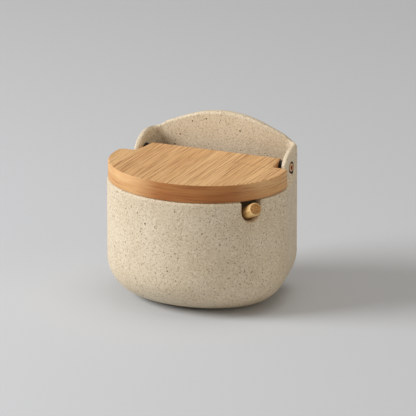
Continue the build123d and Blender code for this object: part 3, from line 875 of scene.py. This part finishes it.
# place of the spoon: the tip's centre, the way into the pot, and the handle's two cross directions.
# Where it crosses the notch its underside is restGap over the notch's bottom.
def spoonPlace():
    s = spoon
    lean, turn = radians(s["lean"]), radians(s["notchTurn"])
    run = (pot["wall"] + s["overhang"]) / np.cos(lean)
    seatShare = (s["neckAt"] - run) / (s["neckAt"] - s["tipSwell"])
    seatThick = s["neckThick"] + seatShare * (s["tipThick"] - s["neckThick"])
    seat = pot["rim"] - pot["notchDepth"] + s["restGap"] + seatThick / 2 / np.cos(lean)
    tip = np.array([s["notchX"] + s["overhang"] * np.cos(turn), pot["notchY"] + s["overhang"] * np.sin(turn),
                    seat + (pot["wall"] + s["overhang"]) * np.tan(lean)])
    inward = np.array([-np.cos(turn) * np.cos(lean), -np.sin(turn) * np.cos(lean), -np.sin(lean)])
    sideways = np.array([np.sin(turn), -np.cos(turn), 0.0])
    return tip, inward, sideways, np.cross(inward, sideways)


# sections carried along the handle: ellipses that swell, narrow and then open into a round hollow bowl,
# which is a ball's inside over a larger ball's outside, cut off level at the rim
def spoonSkin():
    s = spoon
    tipCentre, inward, sideways, upward = spoonPlace()
    sphere = (s["bowlRadius"]**2 + s["bowlDepth"]**2) / (2 * s["bowlDepth"])
    outer = np.sqrt((sphere + s["bowlWall"])**2 - (sphere - s["bowlDepth"])**2)
    middle = s["length"] - outer
    bowlFrom = middle - outer
    # places along the handle: tip, handle, opening into the bowl, and the bowl's far half
    at = np.concatenate([[0.0, 0.0, 0.25, 0.5, s["tipSwell"], 1.6], np.linspace(3.0, bowlFrom - 4, 30),
                         np.linspace(bowlFrom - s["bowlLead"], middle, 34),
                         middle + outer * np.sin(np.linspace(0, np.pi / 2, 26)[1:])])[:, None]
    around = np.linspace(0, 2 * np.pi, s["around"], endpoint=False)[None, :]

    knots = [0, s["tipSwell"] * 0.5, s["tipSwell"], s["neckAt"], middle - s["bowlRadius"]]
    halfWide = np.interp(at, knots, [s["faceWidth"] / 2, s["tipWidth"] / 2 - s["faceRound"], s["tipWidth"] / 2,
                                     s["neckWidth"] / 2, s["neckWidth"] / 2])
    halfThick = np.interp(at, knots, [s["faceThick"] / 2, s["tipThick"] / 2 - s["faceRound"], s["tipThick"] / 2,
                                      s["neckThick"] / 2, s["endThick"] / 2])
    halfWide[0] = halfThick[0] = 0.0
    bowlWide = np.sqrt(np.clip(outer**2 - (at - middle)**2, 0, None))
    wide = np.where(at > middle, bowlWide, -softMin(-halfWide, -bowlWide, s["bowlBlend"]))
    across = wide * np.cos(around)
    fromMiddle = np.hypot(across, at - middle)
    centre = s["rimRise"] - s["bowlDepth"] + sphere
    under = centre - np.sqrt((sphere + s["bowlWall"])**2 - np.clip(fromMiddle, 0, outer)**2)
    inside = np.sqrt(np.clip(sphere**2 - np.clip(fromMiddle, 0, s["bowlRadius"])**2, 0, None))
    hollow = np.minimum(centre - inside, s["rimRise"])
    bowlPart = np.where(np.sin(around) > 0, hollow, under)
    handlePart = halfThick * np.sin(around)
    mix = ease(at, bowlFrom - s["bowlLead"], bowlFrom + s["bowlOpen"])
    rise = handlePart + (bowlPart - handlePart) * mix
    at = at + 0 * across
    return tipCentre + at[..., None] * inward + across[..., None] * sideways + rise[..., None] * upward


# fibres and streaks drawn out along the handle; near the tip the pale rim, on its face the end grain
def makeSpoonWood():
    s = spoon
    w = Finish("spoonWood")
    tipCentre, inward, _, _ = spoonPlace()
    turned = Vector(inward).to_track_quat("Z", "Y").to_matrix().inverted().to_euler()  # takes the handle to Z
    lined = w.add("ShaderNodeMapping", Vector=w.place, Rotation=tuple(turned)).outputs[0]
    drawn = w.add("ShaderNodeMapping", Vector=lined, Scale=(1.0, 1.0, s["grainPull"])).outputs[0]
    fibre = w.noise(drawn, s["fibreScale"], 2.0, 0.6)
    streak = w.noise(drawn, s["streakScale"], 2.0, 0.5)
    tone = w.layer(colour(*s["pale"]), streak, s["streakShare"], s["warm"])
    tone = w.layer(tone, fibre, s["fibreShare"], s["fibre"])
    along = w.vectorMath("DOT_PRODUCT", w.place, tuple(inward))
    fromEnd = w.math("SUBTRACT", along, float(tipCentre @ inward) * toMetres)
    pores = w.noise(w.place, s["poreScale"], 3.0, 0.6)
    endTone = w.layer(colour(*s["endPale"]), pores, s["poreShare"], s["endDark"])
    tone = w.layer(tone, fromEnd, s["rimShare"], s["rim"])
    tone = w.blend(w.ramp(fromEnd, *s["endShare"]), tone, endTone)
    w.bump(fibre, s["relief"], s["reliefDepth"])
    w.set(Base_Color=tone, Roughness=w.ramp(fibre, *s["roughShare"]), Specular_IOR_Level=s["specular"])
    return w.material


spoonPiece = loopSkin("spoon_turned", spoonSkin(), 50.0)
spoonPiece.data.materials.append(makeSpoonWood())
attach(spoonPiece, "spoon")
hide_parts("spoon")
print("spoon made")


# hinge screws
screw = {"tip": 31.66, "tipChamfer": 0.4, "seat": 44.1, "headHeight": 1.7, "headRadius": 2.6, "headRound": 0.55,
         "headChamfer": 0.12, "shaftRadius": 1.5, "socket": 1.25, "socketDepth": 1.1, "socketCone": 0.25,
         "lip": 0.18, "around": 72, "bright": (226, 182, 138), "dull": (168, 116, 78), "rough": 0.2}


# a profile turned about the hinge line; the socket's rows follow a hexagon instead of a circle
def screwSkin(side):
    c = screw
    turn = np.linspace(0, 2 * np.pi, c["around"], endpoint=False)
    hexagon = c["socket"] / np.cos(np.mod(turn + np.pi / 6, np.pi / 3) - np.pi / 6)
    top = c["seat"] + c["headHeight"]
    r, shaft, head = c["headRound"], c["shaftRadius"], c["headRadius"]
    profile = [(0.0, c["tip"]), (shaft - c["tipChamfer"], c["tip"]), (shaft, c["tip"] + c["tipChamfer"]),
               (shaft, c["seat"]), (head - c["headChamfer"], c["seat"]), (head, c["seat"] + c["headChamfer"])]
    profile += [(head - r + r * np.cos(b), top - r + r * np.sin(b)) for b in np.linspace(0, np.pi / 2, 7)]
    profile += [(hexagon + c["lip"], top), (hexagon + 0.04, top - 0.05), (hexagon, top - c["lip"]),
                (hexagon, top - c["socketDepth"]), (hexagon * 0.0, top - c["socketDepth"] - c["socketCone"])]
    rows = [np.stack([np.full_like(turn, reach), radius * np.cos(turn), radius * np.sin(turn)], -1)
            for radius, reach in profile]
    points = np.stack(rows)
    points[..., 0] *= side
    points[..., 1] += pot["hingeY"]
    points[..., 2] += pot["hingeHeight"]
    return points


screwBrass = makeBrass("screwBrass", screw["rough"], screw["bright"], screw["dull"])
for sideName, side in (("left", -1), ("right", 1)):
    piece = loopSkin("screw_" + sideName, screwSkin(side), 32.0)
    piece.data.materials.append(screwBrass)
    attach(piece, "lid")
    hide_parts("hinge_screw_" + sideName)
print("screws made")


# bushes, spacers and inserts are kept from the frame and only get their finishes
keptFinishes = {"hinge_bush": makeNylon("bushNylon", (30, 24, 20), (42, 34, 28)),
                "hinge_spacer": makeNylon("spacerNylon", (27, 21, 17), (38, 30, 25)),
                "thread_insert": makeBrass("insertBrass", 0.34, (238, 205, 150), (214, 172, 112))}
for nodeName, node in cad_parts.items():
    for start, finish in keptFinishes.items():
        if nodeName.startswith(start):
            node.data.materials.clear()
            node.data.materials.append(finish)
print("kept nodes finished")
